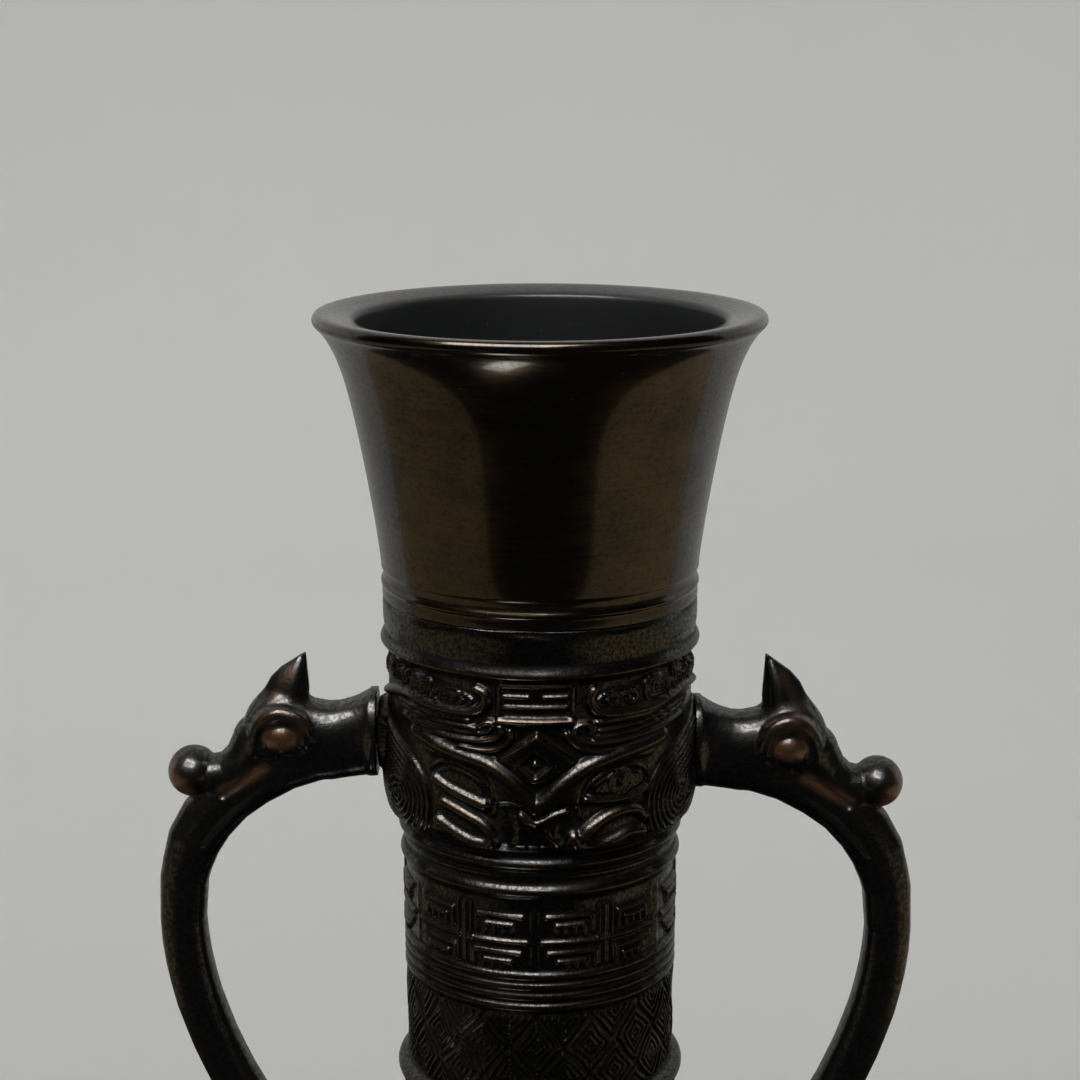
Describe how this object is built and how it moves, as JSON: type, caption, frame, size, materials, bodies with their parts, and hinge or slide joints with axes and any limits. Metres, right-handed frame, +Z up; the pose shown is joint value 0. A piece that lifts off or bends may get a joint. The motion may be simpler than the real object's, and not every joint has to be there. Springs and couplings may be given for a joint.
{
  "type": "bronze vase",
  "caption": "Tall cast bronze vase with a flared polished mouth, relief bands round the neck, a rounded belly on a spreading foot, and beast-head loop handles.",
  "frame": {"origin": "on the floor, on the vase's own axis, under the middle of the foot", "axes": "+Z up the vase's axis, -Y out of the front mask, the handles along X with the left one at -X"},
  "size_m": [0.1618, 0.118, 0.3218],
  "materials": {
    "cast_bronze": "dark brown-black patina over as-cast grain, with the high edges rubbed brown",
    "polished_bronze": "turned and polished, dark patina with fine lathe lines",
    "handle_bronze": "smooth dark patina, rubbed to copper brown on brow, eye and nose",
    "plate_bronze": "plain sheet bronze, dulled",
    "washer_bronze": "turned bronze, dulled",
    "solder": "dull grey soft solder"
  },
  "bodies": {
    "root": {"vase_body": "cast_bronze", "mouth_flare": "polished_bronze", "mouth_seal": "solder", "base_plate": "plate_bronze", "base_solder_ring": "solder", "left_handle": "handle_bronze", "left_upper_washer": "washer_bronze", "left_upper_seal": "solder", "left_lower_washer": "washer_bronze", "left_lower_seal": "solder", "right_handle": "handle_bronze", "right_upper_washer": "washer_bronze", "right_upper_seal": "solder", "right_lower_washer": "washer_bronze", "right_lower_seal": "solder"}
  },
  "joints": []
}
